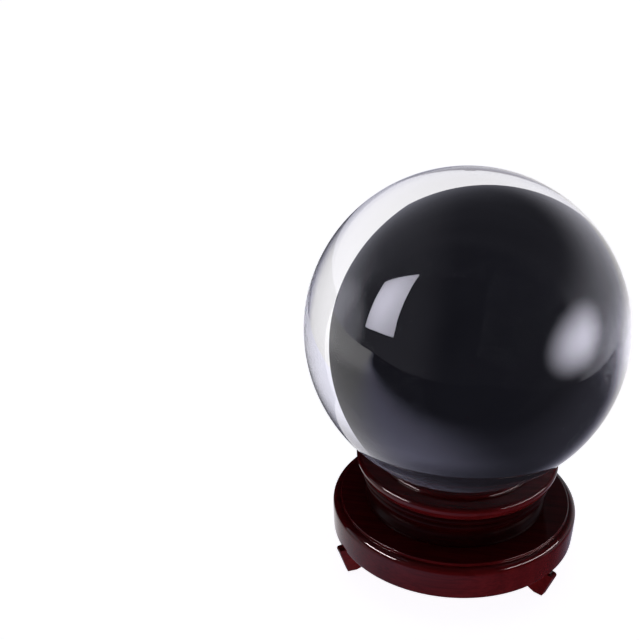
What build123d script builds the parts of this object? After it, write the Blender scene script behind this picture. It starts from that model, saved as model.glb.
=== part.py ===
from build123d import *
from math import asin, cos, radians, sin, tan
import os

# A clear crystal ball resting in a turned and lacquered wooden stand.
# The stand is a seat ring glued on a beaded neck, which is screwed to a
# round base plate that stands on small bracket feet.
# Millimetres. +Z is up. The origin is on the ground, on the stand's axis.

# ---- driving dimensions ------------------------------------------------

# Ball
ball_diameter = 150.0
ball_gap = 0.25             # kept between the glass and the seat

# Seat ring
ring_diameter = 96.6        # over the widest part of the rounded edge
ring_thickness = 7.0
ring_top_round = 2.2        # rounding of the upper outer edge
ring_edge_fall = 2.3        # the lower part of the edge curls in by this much
ledge_width = 7.5           # level ledge round the seat, inside the lip
lip_width = 3.0             # rounded lip that stands up round the ledge
lip_height = 1.4            # above the foot of the ring's sloping top
ring_top_fall = 1.4         # the top slopes in to the lip by this much
ledge_drop = 1.1            # the ledge lies this far below the foot of the lip
seat_lip_diameter = 55.0    # where the ledge breaks into the conical seat
seat_width = 3.0            # the conical seat, across the radius

# Neck
neck_height = 18.1
upper_bead_inset = 2.6      # the upper bead stands in from the ring's edge
upper_bead_height = 3.9
lower_bead_inset = 1.2      # and the lower bead in from the upper one
lower_bead_height = 4.3
bead_round = 1.1            # each bead's edges curl in by this much
waist_inset = 2.2           # from the lower bead
waist_hollow = 1.2          # depth of the hollow between waist and foot
neck_foot_spread = 0.9      # the neck's foot stands out from the waist
neck_foot_height = 1.8
recess_clearance = 2.4      # air under the lowest point of the ball
spigot_wall = 9.5           # of the low spigot that centres the ring on the neck
spigot_height = 1.5
tenon_diameter = 36.0       # tenon that centres the neck on the base plate
tenon_height = 5.0
glue_gap = 0.05             # round every glued spigot, tenon and pin

# Base plate
base_diameter = 117.6       # over the widest part of the side
base_thickness = 18.6
base_rim_land = 0.4         # flat left between the rounded rim and the raised flat
base_top_step = 1.5         # height of the step round the raised flat
base_top_break = 0.5        # small rounding along that step
base_rim_round = 3.3
base_side_taper = 0.9       # the side draws in by this much at the bottom
base_side_bow = 0.25        # and swells by this much half way
base_foot_round = 1.8       # rounding of the lower edge

# Feet
foot_names = ["foot_rear", "foot_left", "foot_right"]
foot_height = 14.0
foot_thickness = 4.8        # across the top
foot_toe_thickness = 3.4    # across the toe
foot_overhang = 2.4         # the corner stands out past the plate's lower edge
foot_rake = 5.4             # the outer edge leans in by this much at the ground
foot_toe = 4.5              # length of the flat that rests on the ground
foot_length = 24.0          # along the underside of the base plate
foot_heel = 2.5             # height left at the inner end
foot_belly = 1.6            # the underside bellies down by this much on its way up
foot_corner_round = 2.0
foot_edge_break = 0.4

# Wood screws that hold the neck to the base plate, from below
screw_count = 3
screw_circle_diameter = 58.0
screw_shank_diameter = 4.0
screw_head_diameter = 8.0
screw_bite = 9.0            # how far each screw reaches into the neck
screw_tip_length = 3.0
screw_tip_diameter = 0.8
screw_sink = 0.4            # the heads sit this far below the wood
screw_gap = 0.05
screw_slot_width = 1.0
screw_slot_depth = 0.9

# Steel pins that hold the feet to the base plate
pin_diameter = 1.5
pin_bite = 7.0              # how far each pin reaches into the base plate
pin_depth = 6.0             # and down into the foot
pin_inset = 6.8             # from the foot's outer corner, towards the axis

# ---- places that follow from them --------------------------------------

base_bottom = foot_height
base_top = base_bottom + base_thickness
ring_bottom = base_top + neck_height
ring_top = ring_bottom + ring_thickness
lip_foot = ring_top - ring_top_fall
ledge = lip_foot - ledge_drop

ball_radius = ball_diameter / 2
ring_radius = ring_diameter / 2
seat_outer = seat_lip_diameter / 2
seat_inner = seat_outer - seat_width
lip_inner = seat_outer + ledge_width
lip_outer = lip_inner + lip_width
seat_middle = seat_outer - seat_width / 2
seat_angle = asin(seat_middle / (ball_radius + ball_gap))
seat_drop = tan(seat_angle) * seat_width
ball_centre = ledge - seat_drop / 2 + cos(seat_angle) * (ball_radius + ball_gap)
recess_floor = ball_centre - ball_radius - recess_clearance
spigot_radius = seat_inner + spigot_wall
spigot_top = ring_bottom + spigot_height

base_radius = base_diameter / 2
base_top_radius = base_radius - base_rim_round - base_rim_land
base_bottom_radius = base_radius - base_side_taper
foot_count = len(foot_names)
foot_corner_radius = base_bottom_radius + foot_overhang
pin_radius = foot_corner_radius - pin_inset
screw_radius = screw_circle_diameter / 2
first_foot_angle = 90.0
first_screw_angle = 30.0

# ---- crystal ball ------------------------------------------------------

with BuildPart() as crystal_ball:
    with Locations((0, 0, ball_centre)):
        Sphere(ball_radius)

# ---- seat ring: bored through, with a conical seat inside a rounded lip ---

rebate_radius = spigot_radius + glue_gap
rebate_top = spigot_top + glue_gap

with BuildPart() as seat_ring:
    with BuildSketch(Plane.XZ):
        with BuildLine():
            under = (ring_radius - ring_edge_fall, ring_bottom)
            widest = (ring_radius, ring_top - ring_top_round)
            shoulder = (ring_radius - ring_top_round, ring_top)
            JernArc(widest, (0, 1), ring_top_round, 90)
            TangentArc(widest, under, tangent=(0, -1))
            Polyline(
                under,
                (rebate_radius, ring_bottom),
                (rebate_radius, rebate_top),
                (seat_inner, rebate_top),
                (seat_inner, ledge - seat_drop),
                (seat_outer, ledge),
                (lip_inner, ledge),
                (lip_inner, lip_foot),
            )
            ThreePointArc(
                (lip_inner, lip_foot),
                (lip_inner + lip_width / 2, lip_foot + lip_height),
                (lip_outer, lip_foot),
            )
            Line((lip_outer, lip_foot), shoulder)
        make_face()
    revolve(axis=Axis.Z)

# ---- neck: two beads over a hollowed waist, recessed under the ball ----

upper_bead_edge = ring_radius - upper_bead_inset - bead_round
lower_bead_edge = upper_bead_edge - lower_bead_inset
upper_bead_base = ring_bottom - upper_bead_height
lower_bead_base = upper_bead_base - lower_bead_height
waist_radius = lower_bead_edge + bead_round - waist_inset
neck_foot_radius = waist_radius + neck_foot_spread
neck_foot_top = base_top + neck_foot_height
neck_foot_edge = neck_foot_radius - neck_foot_height / 2
waist_mid_height = (lower_bead_base + neck_foot_top) / 2
tenon_radius = tenon_diameter / 2
tenon_bottom = base_top - tenon_height

with BuildPart() as neck:
    with BuildSketch(Plane.XZ):
        with BuildLine():
            ThreePointArc(
                (upper_bead_edge, ring_bottom),
                (upper_bead_edge + bead_round, (ring_bottom + upper_bead_base) / 2),
                (upper_bead_edge, upper_bead_base),
            )
            Line((upper_bead_edge, upper_bead_base), (lower_bead_edge, upper_bead_base))
            ThreePointArc(
                (lower_bead_edge, upper_bead_base),
                (lower_bead_edge + bead_round, (upper_bead_base + lower_bead_base) / 2),
                (lower_bead_edge, lower_bead_base),
            )
            Line((lower_bead_edge, lower_bead_base), (waist_radius, lower_bead_base))
            ThreePointArc(
                (waist_radius, lower_bead_base),
                (waist_radius - waist_hollow, waist_mid_height),
                (neck_foot_edge, neck_foot_top),
            )
            ThreePointArc(
                (neck_foot_edge, neck_foot_top),
                (neck_foot_radius, base_top + neck_foot_height / 2),
                (neck_foot_edge, base_top),
            )
            Polyline(
                (neck_foot_edge, base_top),
                (tenon_radius, base_top),
                (tenon_radius, tenon_bottom),
                (0, tenon_bottom),
                (0, recess_floor),
                (seat_inner, recess_floor),
                (seat_inner, spigot_top),
                (spigot_radius, spigot_top),
                (spigot_radius, ring_bottom),
                (upper_bead_edge, ring_bottom),
            )
        make_face()
    revolve(axis=Axis.Z)
    with BuildSketch(Plane.XY.offset(base_top)):
        with PolarLocations(screw_radius, screw_count, start_angle=first_screw_angle):
            Circle(screw_shank_diameter / 2 + screw_gap)
    extrude(amount=screw_bite + screw_gap, mode=Mode.SUBTRACT)

# ---- base plate: raised flat top, rounded rim, drilled from below ------

rim_top = base_top - base_top_step
rim_base = rim_top - base_rim_round
side_base = base_bottom + base_foot_round

with BuildPart() as base_plate:
    with BuildSketch(Plane.XZ):
        with BuildLine():
            rim_round = JernArc((base_radius, rim_base), (0, 1), base_rim_round, 90)
            ThreePointArc(
                (base_radius, rim_base),
                (base_radius - base_side_taper / 2 + base_side_bow, (rim_base + side_base) / 2),
                (base_bottom_radius, side_base),
            )
            foot_round = JernArc((base_bottom_radius, side_base), (0, -1), base_foot_round, -90)
            Polyline(
                foot_round @ 1,
                (0, base_bottom),
                (0, tenon_bottom - glue_gap),
                (tenon_radius + glue_gap, tenon_bottom - glue_gap),
                (tenon_radius + glue_gap, base_top),
                (base_top_radius, base_top),
                (base_top_radius, rim_top),
                rim_round @ 1,
            )
        make_face()
    revolve(axis=Axis.Z)
    top_edge = base_plate.edges().filter_by(
        lambda edge: edge.geom_type == GeomType.CIRCLE
        and abs(edge.radius - base_top_radius) < glue_gap
    ).sort_by(Axis.Z)[-1]
    fillet(top_edge, base_top_break)
    with Locations(Plane((0, 0, base_bottom), x_dir=(1, 0, 0), z_dir=(0, 0, -1))):
        with PolarLocations(screw_radius, screw_count, start_angle=-first_screw_angle):
            CounterSinkHole(
                screw_shank_diameter / 2 + screw_gap,
                screw_head_diameter / 2 + screw_sink + screw_gap,
                depth=base_thickness,
                counter_sink_angle=90,
            )
    with BuildSketch(Plane.XY.offset(base_bottom)):
        with PolarLocations(pin_radius, foot_count, start_angle=first_foot_angle):
            Circle(pin_diameter / 2 + glue_gap)
    extrude(amount=pin_bite + glue_gap, mode=Mode.SUBTRACT)

# ---- feet: thin brackets standing on edge, pointing out from the axis --

toe_outer = foot_corner_radius - foot_rake
toe_inner = toe_outer - foot_toe
heel_radius = foot_corner_radius - foot_length
feet = []

for index, foot_name in enumerate(foot_names):
    turn = radians(first_foot_angle + 360 / foot_count * index)
    outward = (cos(turn), sin(turn), 0)
    sideways = (sin(turn), -cos(turn), 0)
    with BuildPart() as foot:
        with BuildSketch(Plane((0, 0, 0), x_dir=outward, z_dir=sideways)) as outline:
            with BuildLine():
                SagittaArc((toe_inner, 0), (heel_radius, foot_height - foot_heel), foot_belly)
                Polyline(
                    (heel_radius, foot_height - foot_heel),
                    (heel_radius, foot_height),
                    (foot_corner_radius, foot_height),
                    (toe_outer, 0),
                    (toe_inner, 0),
                )
            make_face()
            fillet(outline.vertices().sort_by(Axis.X)[-1], foot_corner_round)
        extrude(amount=foot_thickness, both=True)
        with BuildSketch(Plane((0, 0, 0), x_dir=(-sin(turn), cos(turn), 0), z_dir=outward)):
            with BuildLine():
                Polyline(
                    (-foot_toe_thickness / 2, 0),
                    (foot_toe_thickness / 2, 0),
                    (foot_thickness / 2, foot_height),
                    (-foot_thickness / 2, foot_height),
                    close=True,
                )
            make_face()
        extrude(amount=foot_corner_radius, mode=Mode.INTERSECT)
        below_top = foot.edges().filter_by(lambda edge: edge.bounding_box().min.Z < foot_height - glue_gap)
        fillet(below_top, foot_edge_break)
        with BuildSketch(Plane.XY.offset(foot_height)):
            with Locations((pin_radius * cos(turn), pin_radius * sin(turn))):
                Circle(pin_diameter / 2 + glue_gap)
        extrude(amount=-pin_depth - glue_gap, mode=Mode.SUBTRACT)
    foot.part.label = foot_name
    feet.append(foot)

# ---- wood screws, heads down in the base plate's countersinks ----------

shank_radius = screw_shank_diameter / 2
head_height = screw_head_diameter / 2 - shank_radius
head_bottom = base_bottom + screw_sink
tip_base = base_top + screw_bite - screw_tip_length
upright = (Align.CENTER, Align.CENTER, Align.MIN)

with BuildPart() as neck_screws:
    with PolarLocations(screw_radius, screw_count, start_angle=first_screw_angle):
        with Locations((0, 0, head_bottom)):
            Cone(screw_head_diameter / 2, shank_radius, head_height, align=upright)
        with Locations((0, 0, head_bottom + head_height)):
            Cylinder(shank_radius, tip_base - head_bottom - head_height, align=upright)
        with Locations((0, 0, tip_base)):
            Cone(shank_radius, screw_tip_diameter / 2, screw_tip_length, align=upright)
        with Locations((0, 0, head_bottom)):
            Box(
                screw_head_diameter,
                screw_slot_width,
                screw_slot_depth,
                align=upright,
                mode=Mode.SUBTRACT,
            )

# ---- steel pins, half in each foot and half in the base plate ----------

with BuildPart() as foot_pins:
    with BuildSketch(Plane.XY.offset(base_bottom - pin_depth)):
        with PolarLocations(pin_radius, foot_count, start_angle=first_foot_angle):
            Circle(pin_diameter / 2)
    extrude(amount=pin_depth + pin_bite)

# ---- labels and files --------------------------------------------------

crystal_ball.part.label = "crystal_ball"
seat_ring.part.label = "seat_ring"
neck.part.label = "neck"
base_plate.part.label = "base_plate"
neck_screws.part.label = "neck_screws"
foot_pins.part.label = "foot_pins"

os.makedirs("parts", exist_ok=True)
export_step(crystal_ball.part, "parts/crystal_ball.step")
export_step(seat_ring.part, "parts/seat_ring.step")
export_step(neck.part, "parts/neck.step")
export_step(base_plate.part, "parts/base_plate.step")
export_step(neck_screws.part, "parts/neck_screws.step")
export_step(foot_pins.part, "parts/foot_pins.step")
for foot in feet:
    export_step(foot.part, f"parts/{foot.part.label}.step")
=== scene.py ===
import math

import bmesh
import bpy
from mathutils import Matrix, Vector


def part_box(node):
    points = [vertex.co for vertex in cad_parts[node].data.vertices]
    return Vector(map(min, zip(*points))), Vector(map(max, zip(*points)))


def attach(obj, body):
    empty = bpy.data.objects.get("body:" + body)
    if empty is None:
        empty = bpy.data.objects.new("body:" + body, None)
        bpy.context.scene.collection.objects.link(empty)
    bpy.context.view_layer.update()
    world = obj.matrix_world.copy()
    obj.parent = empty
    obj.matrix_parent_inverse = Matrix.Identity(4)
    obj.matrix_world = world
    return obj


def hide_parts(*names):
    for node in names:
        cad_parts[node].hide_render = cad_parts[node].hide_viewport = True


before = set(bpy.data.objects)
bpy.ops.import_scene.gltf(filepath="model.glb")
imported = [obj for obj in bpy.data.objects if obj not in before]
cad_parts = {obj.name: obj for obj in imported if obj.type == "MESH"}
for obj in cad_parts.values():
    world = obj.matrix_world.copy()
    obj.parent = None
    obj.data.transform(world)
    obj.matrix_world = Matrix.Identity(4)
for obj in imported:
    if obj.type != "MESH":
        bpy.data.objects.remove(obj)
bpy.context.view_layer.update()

# ---- base plate --------------------------------------------------------
# The thick disc that carries everything: a hardwood blank turned on a lathe, with a raised
# flat inside its rounded rim and a shallow socket for the neck. It is stained dark
# red-brown and sprayed with gloss lacquer. The screws and pins go in from below.


class Wire:
    """A socket in a material's nodes. Sums on it add Math nodes, and node() adds any other."""

    def __init__(self, tree, socket=None):
        self.tree = tree
        self.socket = socket

    def node(self, kind, settings, inputs, output=0):
        made = self.tree.nodes.new(kind)
        for name, value in settings.items():
            if name == "stops":
                stops = made.color_ramp.elements
                while len(stops) < len(value):
                    stops.new(1.0)
                for stop, (position, shade) in zip(stops, value):
                    stop.position = position
                    stop.color = (shade, shade, shade, 1)
            else:
                setattr(made, name, value)
        for name, value in inputs.items():
            if isinstance(value, Wire):
                self.tree.links.new(value.socket, made.inputs[name])
            else:
                made.inputs[name].default_value = value
        return Wire(self.tree, made.outputs[output])

    def maths(self, operation, first, second):
        return self.node("ShaderNodeMath", {"operation": operation}, {0: first, 1: second})

    def __add__(self, other):
        return self.maths("ADD", self, other)

    def __sub__(self, other):
        return self.maths("SUBTRACT", self, other)

    def __rsub__(self, other):
        return self.maths("SUBTRACT", other, self)

    def __mul__(self, other):
        return self.maths("MULTIPLY", self, other)

    __radd__ = __add__
    __rmul__ = __mul__

    def feeds(self, node, socket):
        self.tree.links.new(self.socket, node.inputs[socket])


def new_material(name):
    """A node material with its Principled shader, and a Wire to build on."""
    material = bpy.data.materials.new(name)
    material.use_nodes = True
    shader = material.node_tree.nodes["Principled BSDF"]
    return material, shader, Wire(material.node_tree)


def lacquered_wood(name, deep, bright, board_turn, gloss=0.14, roughest=0.11):
    """Stained hardwood under gloss lacquer, with its grain along the board it was cut from."""
    material, shader, wire = new_material(name)
    place = wire.node("ShaderNodeTexCoord", {}, {}, "Object")
    along = {"Vector": place, "Rotation": (0, 0, board_turn)}
    fibres = wire.node("ShaderNodeMapping", {}, along | {"Scale": (45, 900, 900)})
    pores = wire.node("ShaderNodeTexNoise", {}, {"Vector": fibres, "Scale": 1.0, "Detail": 6.0})
    figure = wire.node("ShaderNodeMapping", {}, along | {"Scale": (9, 70, 70)})
    bands = wire.node(
        "ShaderNodeTexWave",
        {"bands_direction": "Y"},
        {"Vector": figure, "Scale": 0.6, "Distortion": 5.0, "Detail": 3.0, "Detail Scale": 0.8},
        "Fac",
    )
    dark_pores = wire.node("ShaderNodeValToRGB", {"stops": [(0.36, 0.0), (0.62, 1.0)]}, {"Fac": pores})
    stain = wire.node("ShaderNodeTexNoise", {}, {"Vector": place, "Scale": 35.0, "Detail": 3.0})
    mask = dark_pores * 0.4 + bands * 0.2 + stain * 0.4
    colour = wire.node(
        "ShaderNodeMix", {"data_type": "RGBA"}, {0: mask, 6: (*deep, 1), 7: (*bright, 1)}, 2
    )
    colour.feeds(shader, "Base Color")
    film = wire.node("ShaderNodeTexNoise", {}, {"Vector": place, "Scale": 120.0, "Detail": 2.0})
    film_spread = 0.06
    (film * film_spread + (roughest - film_spread)).feeds(shader, "Roughness")
    peel = wire.node("ShaderNodeTexNoise", {}, {"Vector": place, "Scale": 420.0, "Detail": 1.0})
    relief = peel + pores * 0.12
    bump = wire.node(
        "ShaderNodeBump", {}, {"Height": relief, "Strength": 0.16, "Distance": 0.00006}, "Normal"
    )
    bump.feeds(shader, "Normal")
    shader.inputs["IOR"].default_value = 1.5
    shader.inputs["Specular IOR Level"].default_value = gloss
    return material


def turned(mesh, outline, steps=224, segments=8):
    """Spins (radius, height, rounding) corners about the stand's axis, each corner rounded first."""
    corners = [mesh.verts.new((radius, 0, height)) for radius, height, _ in outline]
    for corner, after in zip(corners, corners[1:]):
        mesh.edges.new((corner, after))
    if outline[0][0] > 0:
        mesh.edges.new((corners[-1], corners[0]))
    for corner, (_, _, rounding) in zip(corners, outline):
        if rounding > 0:
            bmesh.ops.bevel(
                mesh, geom=[corner], offset=rounding, offset_type="OFFSET", affect="VERTICES",
                segments=segments, profile=0.5, material=-1,
            )
    bmesh.ops.spin(
        mesh, geom=mesh.verts[:] + mesh.edges[:], axis=(0, 0, 1), cent=(0, 0, 0),
        angle=math.tau, steps=steps, use_merge=True,
    )
    bmesh.ops.remove_doubles(mesh, verts=mesh.verts[:], dist=merge_distance)
    bmesh.ops.recalc_face_normals(mesh, faces=mesh.faces[:])


def piece(name, mesh, material, body, node):
    """Makes the mesh an object that stands for a CAD node and moves with its body."""
    data = bpy.data.meshes.new(name)
    mesh.to_mesh(data)
    mesh.free()
    data.polygons.foreach_set("use_smooth", [True] * len(data.polygons))
    data.materials.append(material)
    made = bpy.data.objects.new(name, data)
    bpy.context.scene.collection.objects.link(made)
    flat_faces = made.modifiers.new("flat_faces", "WEIGHTED_NORMAL")
    flat_faces.keep_sharp = True
    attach(made, body)
    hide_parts(node)
    return made


merge_distance = 0.000002
glue_gap = 0.00005

base_low, base_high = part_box("base_plate")
base_radius = base_high.x
base_bottom = base_low.z
base_top = base_high.z
side_taper = 0.0009
side_belly = 0.00025
side_round = 0.0045
bottom_round = 0.0018
rim_width = 0.0037
rim_round = 0.0033
raised_height = 0.0015
raised_edge = 0.0005
fine_edge = 0.0002
tenon_radius = 0.018
tenon_length = 0.005
base_foot_radius = base_radius - side_taper
rim_top = base_top - raised_height
raised_radius = base_radius - rim_width
side_middle = (base_radius + base_foot_radius) / 2 + side_belly
side_height = (rim_top - rim_round + base_bottom + bottom_round) / 2
socket_radius = tenon_radius + glue_gap
socket_floor = base_top - tenon_length - glue_gap

stand_wood = lacquered_wood("stand_wood", (0.030, 0.0010, 0.0014), (0.076, 0.0040, 0.0050), 0.0)

base = bmesh.new()
turned(base, [
    (0, socket_floor, 0),
    (socket_radius, socket_floor, 0),
    (socket_radius, base_top, 0),
    (raised_radius, base_top, raised_edge),
    (raised_radius, rim_top, fine_edge),
    (base_radius, rim_top, rim_round),
    (side_middle, side_height, side_round),
    (base_foot_radius, base_bottom, bottom_round),
    (0, base_bottom, 0),
])
piece("base_disc", base, stand_wood, "stand", "base_plate")

# ---- feet --------------------------------------------------------------
# Three small brackets on edge under the base plate, pointing out from its middle. Each is
# sawn from thin board with a leaning outer edge and a bellied underside, then eased with
# a file, stained and lacquered. A steel pin holds it.

foot_wood = lacquered_wood("foot_wood", (0.038, 0.0012, 0.0016), (0.095, 0.0050, 0.0056), 0.5)

foot_overhang = 0.0024
foot_length = 0.024
foot_lean = 0.0054
toe_width = 0.0045
heel_height = 0.0025
foot_corner = base_foot_radius + foot_overhang
foot_heel = foot_corner - foot_length
foot_toe_outer = foot_corner - foot_lean
foot_toe_inner = foot_toe_outer - toe_width
heel_bottom = base_bottom - heel_height
belly = 0.0016
belly_steps = 12
foot_top_thickness = 0.0048
foot_toe_thickness = 0.0034
corner_round = 0.002
filed_edge = 0.0004
edge_angle = math.radians(25)
foot_directions = {"foot_rear": 90, "foot_left": 210, "foot_right": 330}

for foot_name, direction in foot_directions.items():
    foot = bmesh.new()
    toe_point = Vector((foot_toe_inner, 0, 0))
    chord = Vector((foot_heel, 0, heel_bottom)) - toe_point
    outward = Vector((-chord.z, 0, chord.x)).normalized()
    outline = []
    for step in range(belly_steps + 1):
        share = step / belly_steps
        outline.append(toe_point + chord * share + outward * belly * 4 * share * (1 - share))
    outline.append(Vector((foot_heel, 0, base_bottom)))
    outline.append(Vector((foot_corner, 0, base_bottom)))
    outline.append(Vector((foot_toe_outer, 0, 0)))
    edge_ring = [foot.verts.new(point) for point in outline]
    foot.faces.new(edge_ring)
    top_corner = edge_ring[-2]
    bmesh.ops.bevel(
        foot, geom=[top_corner], offset=corner_round, offset_type="OFFSET", affect="VERTICES",
        segments=5, profile=0.5, material=-1,
    )
    bmesh.ops.translate(foot, verts=foot.verts[:], vec=(0, -0.5, 0))
    grown = bmesh.ops.extrude_face_region(foot, geom=foot.faces[:])
    far_side = [part for part in grown["geom"] if isinstance(part, bmesh.types.BMVert)]
    bmesh.ops.translate(foot, verts=far_side, vec=(0, 1, 0))
    for vert in foot.verts:
        height_share = vert.co.z / base_bottom
        vert.co.y *= foot_toe_thickness + (foot_top_thickness - foot_toe_thickness) * height_share
    bmesh.ops.recalc_face_normals(foot, faces=foot.faces[:])
    eased = [
        edge for edge in foot.edges
        if min(vert.co.z for vert in edge.verts) < base_bottom - merge_distance
        and edge.calc_face_angle(0) > edge_angle
    ]
    bmesh.ops.bevel(
        foot, geom=eased, offset=filed_edge, offset_type="OFFSET", affect="EDGES",
        segments=3, profile=0.5, material=-1, clamp_overlap=True,
    )
    bmesh.ops.rotate(
        foot, verts=foot.verts[:], cent=(0, 0, 0),
        matrix=Matrix.Rotation(math.radians(direction), 3, "Z"),
    )
    piece(foot_name + "_bracket", foot, foot_wood, "stand", foot_name)

# ---- neck --------------------------------------------------------------
# The turned block between the base plate and the seat ring: two beads over a hollowed
# waist and a thin foot. Its colour is darker than the base plate's, painted shade for the
# shadow under the seat ring, and its lacquer is flatter. It is recessed under the ball, glued
# to both neighbours by a low spigot and a tenon, and screwed from below.

# Darker colours than the base plate's: painted shade for the shadow under the seat ring.
neck_wood = lacquered_wood(
    "neck_wood", (0.008, 0.0003, 0.0004), (0.026, 0.0008, 0.0010), 0.0, gloss=0.04, roughest=0.34
)

neck_low, neck_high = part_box("neck")
ring_low, ring_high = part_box("seat_ring")
ball_low, ball_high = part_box("crystal_ball")
neck_radius = neck_high.x
neck_top = ring_low.z
upper_bead_height = 0.0039
lower_bead_height = 0.0043
lower_bead_inset = 0.0012
upper_bead_round = 0.0019
lower_bead_round = 0.0021
bead_edge = 0.0001
upper_bead_base = neck_top - upper_bead_height
lower_bead_base = upper_bead_base - lower_bead_height
bead_sagitta = 0.0011
bead_apex = bead_sagitta / (1 - math.sqrt(0.5)) / 2 - bead_sagitta
upper_edge = neck_radius - bead_sagitta
lower_edge = upper_edge - lower_bead_inset
waist_radius = 0.0423
waist_hollow = 0.0012
waist_round = 0.0022
neck_foot_radius = 0.0432
neck_foot_height = 0.0018
neck_foot_round = 0.0009
neck_foot_bottom_round = 0.0006
neck_foot_top = base_top + neck_foot_height
spigot_radius = 0.034
bore_radius = 0.0245
recess_clearance = 0.0024
recess_round = 0.001
recess_floor = ball_low.z - recess_clearance

neck = bmesh.new()
turned(neck, [
    (0, neck_low.z, 0),
    (socket_radius - glue_gap, neck_low.z, 0),
    (socket_radius - glue_gap, base_top, 0),
    (neck_foot_radius, base_top, neck_foot_bottom_round),
    (neck_foot_radius, neck_foot_top, neck_foot_round),
    (waist_radius - waist_hollow, (neck_foot_top + lower_bead_base) / 2, waist_round),
    (waist_radius, lower_bead_base, 0),
    (lower_edge, lower_bead_base, fine_edge),
    (
        lower_edge + bead_sagitta + bead_apex,
        (lower_bead_base + upper_bead_base) / 2,
        lower_bead_round,
    ),
    (lower_edge, upper_bead_base, bead_edge),
    (upper_edge, upper_bead_base, bead_edge),
    (upper_edge + bead_sagitta + bead_apex, (upper_bead_base + neck_top) / 2, upper_bead_round),
    (upper_edge, neck_top, 0),
    (spigot_radius, neck_top, 0),
    (spigot_radius, neck_high.z, fine_edge),
    (bore_radius, neck_high.z, fine_edge),
    (bore_radius, recess_floor, recess_round),
    (0, recess_floor, 0),
])
piece("neck_block", neck, neck_wood, "stand", "neck")

# ---- seat ring ---------------------------------------------------------
# The turned ring that holds the ball. Its top slopes in from a rounded edge to a small
# rounded lip, a level ledge and a conical seat cut to the ball. It is glued on the neck's
# spigot, in the same wood as the base plate.

ring_radius = ring_high.x
ring_bottom = ring_low.z
ring_top = ring_high.z
under_inset = 0.0023
under_height = 0.003
under_edge = 0.0004
ring_round = 0.0022
seat_outer = 0.0275
ledge_width = 0.0075
lip_width = 0.003
lip_height = 0.0014
lip_round = 0.0013
ledge_drop = 0.0011
seat_drop = 0.00103
lip_inner = seat_outer + ledge_width
lip_outer = lip_inner + lip_width
lip_foot = ring_top - lip_height
ledge = lip_foot - ledge_drop
rebate_radius = spigot_radius + glue_gap
rebate_top = neck_high.z + glue_gap

ring = bmesh.new()
turned(ring, [
    (bore_radius, rebate_top, 0),
    (rebate_radius, rebate_top, 0),
    (rebate_radius, ring_bottom, 0),
    (ring_radius - under_inset, ring_bottom, under_edge),
    (ring_radius, ring_bottom + under_height, ring_round),
    (ring_radius, ring_top, ring_round),
    (lip_outer, lip_foot, 0),
    (lip_outer, ring_top, lip_round),
    (lip_inner, ring_top, lip_round),
    (lip_inner, ledge, fine_edge),
    (seat_outer, ledge, 0),
    (bore_radius, ledge - seat_drop, 0),
])
piece("seat_hoop", ring, stand_wood, "stand", "seat_ring")

# ---- screws and pins ---------------------------------------------------
# Three slotted wood screws that draw the neck down on the base plate, and three plain
# pins, one in each foot. They are bright zinc-plated steel with fine drawing marks.

steel, steel_shader, wire = new_material("plated_steel")
steel_place = wire.node("ShaderNodeTexCoord", {}, {}, "Object")
drawn = wire.node("ShaderNodeMapping", {}, {"Vector": steel_place, "Scale": (2500, 2500, 120)})
marks = wire.node("ShaderNodeTexNoise", {}, {"Vector": drawn, "Scale": 1.0, "Detail": 3.0})
(marks * 0.2 + 0.22).feeds(steel_shader, "Roughness")
dull_zinc = (0.42, 0.42, 0.43, 1)
bright_zinc = (0.7, 0.7, 0.68, 1)
plating = wire.node(
    "ShaderNodeMix", {"data_type": "RGBA"}, {0: marks, 6: dull_zinc, 7: bright_zinc}, 2
)
plating.feeds(steel_shader, "Base Color")
steel_shader.inputs["Metallic"].default_value = 1.0
for steel_node in ("neck_screws", "foot_pins"):
    steel_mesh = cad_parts[steel_node].data
    steel_mesh.materials.clear()
    steel_mesh.materials.append(steel)

# ---- crystal ball ------------------------------------------------------
# A solid ball of clear optical glass, ground and polished to a mirror finish with no seam.
# It rests loose in the conical seat and lifts straight out.

ball_radius = (ball_high.z - ball_low.z) / 2
ball_centre = Vector((0, 0, (ball_high.z + ball_low.z) / 2))

crystal, crystal_shader, wire = new_material("clear_crystal")
polish_place = wire.node("ShaderNodeTexCoord", {}, {}, "Object")
polish = wire.node("ShaderNodeTexNoise", {}, {"Vector": polish_place, "Scale": 60.0, "Detail": 4.0})
(polish * 0.004).feeds(crystal_shader, "Roughness")
crystal_shader.inputs["Base Color"].default_value = (0.985, 0.99, 1.0, 1)
crystal_shader.inputs["Transmission Weight"].default_value = 1.0
crystal_shader.inputs["IOR"].default_value = 1.52

ball = bmesh.new()
bmesh.ops.create_icosphere(ball, subdivisions=7, radius=ball_radius)
bmesh.ops.translate(ball, verts=ball.verts[:], vec=ball_centre)
glass = piece("glass_ball", ball, crystal, "ball", "crystal_ball")
glass.modifiers.clear()

# ---- floor -------------------------------------------------------------
# A plain white table top that glows a little, so that shadows on it stay faint. It is part
# of the stage and not of the object, and the gloss and the glass see the next sheet instead.

table_half = 6

floor_material, floor_shader, wire = new_material("floor")
floor_shader.inputs["Base Color"].default_value = (0.8, 0.8, 0.8, 1)
floor_shader.inputs["Roughness"].default_value = 0.9
floor_shader.inputs["Specular IOR Level"].default_value = 0.0
floor_shader.inputs["Emission Color"].default_value = (0.97, 0.97, 1.0, 1)
floor_shader.inputs["Emission Strength"].default_value = 0.96
floor_mesh = bmesh.new()
bmesh.ops.create_grid(floor_mesh, x_segments=1, y_segments=1, size=table_half)


def stage_object(name, mesh, material):
    """Makes the mesh an object with this material, such as the table top."""
    data = bpy.data.meshes.new(name)
    mesh.to_mesh(data)
    mesh.free()
    data.materials.append(material)
    made = bpy.data.objects.new(name, data)
    bpy.context.scene.collection.objects.link(made)
    return made


floor = stage_object("floor", floor_mesh, floor_material)
floor.visible_glossy = False
floor.visible_transmission = False
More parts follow.
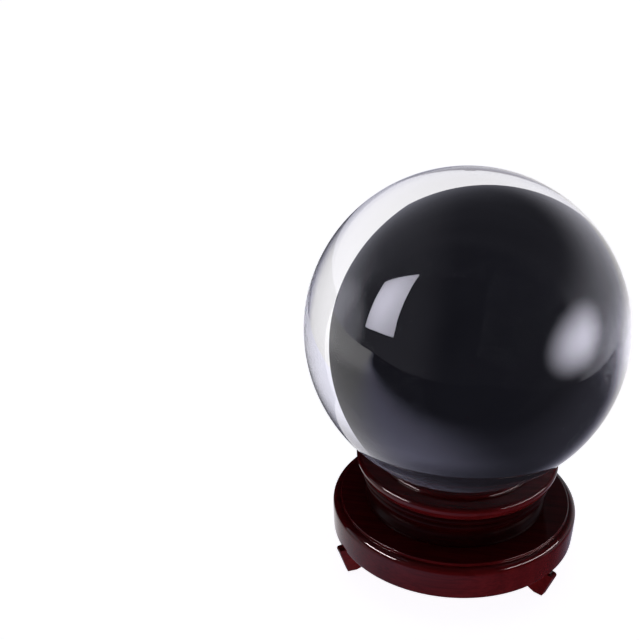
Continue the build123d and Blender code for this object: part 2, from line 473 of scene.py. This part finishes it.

# ---- table top seen in the gloss ---------------------------------------
# The gloss and the glass see this smaller sheet, which glows as a painted reflection of the
# table: bright behind the stand, at its front left and far to the left, with a painted shadow
# under the stand and painted shade towards the camera and at the front right.

gloss_table_half = 1
gloss_table_place = (-0.58, 0, 0)
sheen_material, sheen_shader, wire = new_material("floor_in_gloss")
sheen_place = wire.node("ShaderNodeTexCoord", {}, {}, "Object")
across = wire.node("ShaderNodeSeparateXYZ", {}, {"Vector": sheen_place}, "X")
forward = wire.node("ShaderNodeSeparateXYZ", {}, {"Vector": sheen_place}, "Y")
reach = wire.node("ShaderNodeVectorMath", {"operation": "LENGTH"}, {0: sheen_place}, "Value")


def soft_step(value, start, end, before, after):
    """Goes smoothly from one level to another as the value goes from start to end."""
    return value.node(
        "ShaderNodeMapRange", {"interpolation_type": "SMOOTHSTEP"},
        {"Value": value, 1: start, 2: end, 3: before, 4: after},
    )


# Painted shadow under the stand and painted shade towards the camera and at the front right: the sheet
# glows less there.
under = soft_step(reach, 0.045, 0.062, 0.2, 1.0)
back = soft_step(forward - across * 0.6, -0.07, 0.06, 0.0, 1.0)
near_edge = soft_step(forward - across * 0.3, -0.26, -0.1, 0.0, 1.0)
front = near_edge * soft_step(reach, 0.06, 0.1, 0.3, 1.0)
front_left = soft_step(across, -0.06, 0.08, 1.0, 0.1) * front
far_left = soft_step(across, -0.55, -0.3, 1.0, 0.0)
table_light = under * (back + (1 - back) * front_left) * (1 + far_left)
front_tint = (0.86, 0.84, 1.2, 1)
back_tint = (1.0, 0.985, 1.0, 1)
table_tint = wire.node(
    "ShaderNodeMix", {"data_type": "RGBA"}, {0: back, 6: front_tint, 7: back_tint}, 2
)
table_glow = wire.node(
    "ShaderNodeVectorMath", {"operation": "SCALE"}, {0: table_tint, "Scale": table_light}, "Vector"
)
table_glow.feeds(sheen_shader, "Emission Color")
sheen_shader.inputs["Emission Strength"].default_value = 1.0
sheen_shader.inputs["Base Color"].default_value = (0, 0, 0, 1)
sheen_shader.inputs["Specular IOR Level"].default_value = 0.0
sheen_mesh = bmesh.new()
bmesh.ops.create_grid(sheen_mesh, x_segments=1, y_segments=1, size=gloss_table_half)
bmesh.ops.translate(sheen_mesh, verts=sheen_mesh.verts[:], vec=gloss_table_place)
sheen_floor = stage_object("floor_in_gloss", sheen_mesh, sheen_material)
sheen_floor.visible_camera = False
sheen_floor.visible_diffuse = False
sheen_floor.visible_shadow = False

# ---- black card --------------------------------------------------------
# A black paper-covered box behind and to the left, which only the ball and the lacquer
# see: it makes the clear ball read dark, with a bright crescent at its upper left. No lamp
# lights it: it glows, with painted light on its dark paper, a painted sheen at grazing angles
# and a painted glow on its top. It is part of the stage and not of the object.

card_corner = Vector((-0.172, -0.0103, 0))
card_turn = math.radians(31.9)
card_size = Vector((0.2301, 0.1683, 0.1592))

card_material, card_shader, wire = new_material("black_paper")
paper_place = wire.node("ShaderNodeTexCoord", {}, {}, "Object")
fibre = wire.node("ShaderNodeTexNoise", {}, {"Vector": paper_place, "Scale": 160.0, "Detail": 6.0})
dark_fibre = (0.003, 0.003, 0.005, 1)
light_fibre = (0.010, 0.010, 0.014, 1)
paper = wire.node(
    "ShaderNodeMix", {"data_type": "RGBA"}, {0: fibre, 6: dark_fibre, 7: light_fibre}, 2
)
# Painted sheen: the card glows brighter where it is seen at a grazing angle, and its top face glows as
# a painted highlight.
grazing = wire.node("ShaderNodeLayerWeight", {}, {"Blend": 0.5}, "Facing")
facing_up = wire.node("ShaderNodeNewGeometry", {}, {}, "Normal")
lid = wire.node("ShaderNodeSeparateXYZ", {}, {"Vector": facing_up}, "Z")
edge_sharpness = 12.0
painted_lid_glow = 0.6
sheen = wire.maths("POWER", grazing, edge_sharpness) + lid * painted_lid_glow
painted_sheen_tint = (0.85, 0.85, 1.0, 1)
# The emitted colour of the card: painted light on the dark paper, mixed towards the painted sheen.
painted_paper_glow = wire.node(
    "ShaderNodeMix", {"data_type": "RGBA"}, {0: sheen, 6: paper, 7: painted_sheen_tint}, 2
)
painted_paper_glow.feeds(card_shader, "Emission Color")
card_shader.inputs["Emission Strength"].default_value = 1.0
card_shader.inputs["Base Color"].default_value = (0, 0, 0, 1)
card_shader.inputs["Specular IOR Level"].default_value = 0.0
card_mesh = bmesh.new()
bmesh.ops.create_cube(card_mesh, size=1)
bmesh.ops.translate(card_mesh, verts=card_mesh.verts[:], vec=(0.5, 0.5, 0.5))
bmesh.ops.scale(card_mesh, verts=card_mesh.verts[:], vec=card_size)
bmesh.ops.rotate(
    card_mesh, verts=card_mesh.verts[:], cent=(0, 0, 0),
    matrix=Matrix.Rotation(card_turn, 3, "Z"),
)
bmesh.ops.translate(card_mesh, verts=card_mesh.verts[:], vec=card_corner)
card = stage_object("black_card", card_mesh, card_material)
card.visible_camera = False
card.visible_shadow = False
card.visible_diffuse = False

# ---- lights ------------------------------------------------------------
# On the ball alone, a softbox high on the left, whose reflection is the bright four-sided
# patch, and a broad light on the right with a soft edge. On the base plate and ring, two
# narrow lamps for the rims' highlights, and with the feet, one low weak fill.


def light_glow(light, full, faded, rest):
    """The light is at full strength near its middle and falls to the rest towards its edge."""
    light.use_nodes = True
    wire = Wire(light.node_tree)
    place = wire.node("ShaderNodeNewGeometry", {}, {}, "Parametric")
    middle = (0.5, 0.5, 0)
    from_middle = wire.node(
        "ShaderNodeVectorMath", {"operation": "DISTANCE"}, {0: place, 1: middle}, "Value"
    )
    glow = soft_step(from_middle, full, faded, 1.0, rest)
    glow.feeds(light.node_tree.nodes["Emission"], "Strength")


def soft_light(name, shape, size, power, offset, across=None, upward=None):
    """An area light at an offset from the ball: it faces the ball, or lies along two directions."""
    light = bpy.data.lights.new(name, "AREA")
    light.shape = shape
    light.size, light.size_y = size
    light.energy = power
    lamp = bpy.data.objects.new(name, light)
    bpy.context.scene.collection.objects.link(lamp)
    lamp.location = ball_centre + Vector(offset)
    if across is None:
        turn = Vector(offset).to_track_quat("Z", "Y").to_matrix()
    else:
        across = Vector(across).normalized()
        away = across.cross(Vector(upward)).normalized()
        turn = Matrix((across, away.cross(across), away)).transposed()
    lamp.rotation_euler = turn.to_euler()
    return lamp


def light_only(lamp, pieces, name):
    """The lamp lights these pieces and nothing else."""
    lit = bpy.data.collections.new(name)
    for lit_piece in pieces:
        lit.objects.link(lit_piece)
    lamp.light_linking.receiver_collection = lit


softbox = soft_light(
    "softbox", "RECTANGLE", size=(0.607, 0.622), power=15.0, offset=(-0.785, -0.375, 0.443),
    across=(0.996, -0.089, 0.014), upward=(0.008, 0.244, 0.970),
)
light_glow(softbox.data, full=0.1, faded=0.7, rest=0.6)
light_only(softbox, [glass], "lit_by_softbox")
side_light = soft_light(
    "side_light", "ELLIPSE", size=(1.12, 0.78), power=24.0, offset=(0.99, -0.12, 0.07)
)
light_glow(side_light.data, full=0.0, faded=0.5, rest=0.0)
light_only(side_light, [glass], "lit_by_side_light")
cool_white = (0.90, 0.88, 1.03)
for tinted in (softbox, side_light):
    tinted.data.color = cool_white

glossy_rims = [bpy.data.objects["base_disc"], bpy.data.objects["seat_hoop"]]
left_glint = soft_light(
    "left_glint", "RECTANGLE", size=(0.55, 0.12), power=30.0, offset=(-0.79, -0.35, 0.55)
)
right_glint = soft_light(
    "right_glint", "RECTANGLE", size=(1.2, 0.09), power=22.0, offset=(1.0, -0.09, 0.45)
)
warm_white = (1.0, 0.86, 0.88)
for glint in (left_glint, right_glint):
    glint.visible_diffuse = False
    glint.data.color = warm_white
    light_only(glint, glossy_rims, "lit_by_" + glint.name)
low_fill = soft_light(
    "low_fill", "ELLIPSE", size=(0.6, 0.3), power=4.0, offset=(0.6, -0.8, -0.06)
)
low_fill.visible_glossy = False
brackets = [bpy.data.objects[foot_name + "_bracket"] for foot_name in foot_directions]
light_only(low_fill, glossy_rims + brackets, "lit_by_low_fill")

# ---- room --------------------------------------------------------------
# The camera sees plain white all round. The gloss and the glass see white behind the object
# and at its left, dark above and in front, and matt surfaces get a dim even fill.

world = bpy.data.worlds.new("room")
world.use_nodes = True
bpy.context.scene.world = world
room_nodes = world.node_tree.nodes
room_wire = Wire(world.node_tree)
seen = room_wire.node("ShaderNodeLightPath", {}, {}, "Is Camera Ray")
diffuse = room_wire.node("ShaderNodeLightPath", {}, {}, "Is Diffuse Ray")
looking = room_wire.node("ShaderNodeTexCoord", {}, {}, "Generated")
sideways = room_wire.node("ShaderNodeSeparateXYZ", {}, {"Vector": looking}, "X")
backwards = room_wire.node("ShaderNodeSeparateXYZ", {}, {"Vector": looking}, "Y")
height = room_wire.node("ShaderNodeSeparateXYZ", {}, {"Vector": looking}, "Z")
behind = soft_step(backwards, -0.12, 0.08, 0.0, 1.0)
low = soft_step(height, 0.1, 0.62, 1.0, 0.06)
left_wall = soft_step(sideways, -0.6, -0.1, 0.2, 0.0)
left_window = low * soft_step(sideways, -0.985, -0.93, 1.2, 0.0)
darkest = 0.02
gloss_room = behind * low + (left_wall + left_window) + darkest
fill = 0.08
strength = seen + (1 - seen) * (diffuse * fill + (1 - diffuse) * gloss_room)
strength.feeds(room_nodes["Background"], "Strength")
cool_room = (0.95, 0.94, 1.06, 1)
plain_white = (1, 1, 1, 1)
room_tint = room_wire.node(
    "ShaderNodeMix", {"data_type": "RGBA"}, {0: seen, 6: cool_room, 7: plain_white}, 2
)
room_tint.feeds(room_nodes["Background"], "Color")

# ---- camera ------------------------------------------------------------
# A long lens, looking down on the ball from the front. The ball stands to the right of the
# middle, so the camera is turned a little away from it.

camera_data = bpy.data.cameras.new("camera")
camera_data.sensor_width = 36.0
camera_data.lens = 100.95
camera_data.clip_start = 0.01
camera_data.clip_end = 50.0
camera = bpy.data.objects.new("camera", camera_data)
bpy.context.scene.collection.objects.link(camera)
camera_distance = 0.82793
camera_azimuth = math.radians(3.532)
camera_elevation = math.radians(30.038)
look_yaw = math.radians(8.947)
look_pitch = math.radians(90 - 29.988)
look_roll = math.radians(1.595)
camera_place = ball_centre + camera_distance * Vector((
    math.sin(camera_azimuth) * math.cos(camera_elevation),
    -math.cos(camera_azimuth) * math.cos(camera_elevation),
    math.sin(camera_elevation),
))
camera.matrix_world = (
    Matrix.Translation(camera_place)
    @ Matrix.Rotation(look_yaw, 4, "Z")
    @ Matrix.Rotation(look_pitch, 4, "X")
    @ Matrix.Rotation(look_roll, 4, "Z")
)
bpy.context.scene.camera = camera
bpy.context.scene.view_settings.view_transform = "Standard"
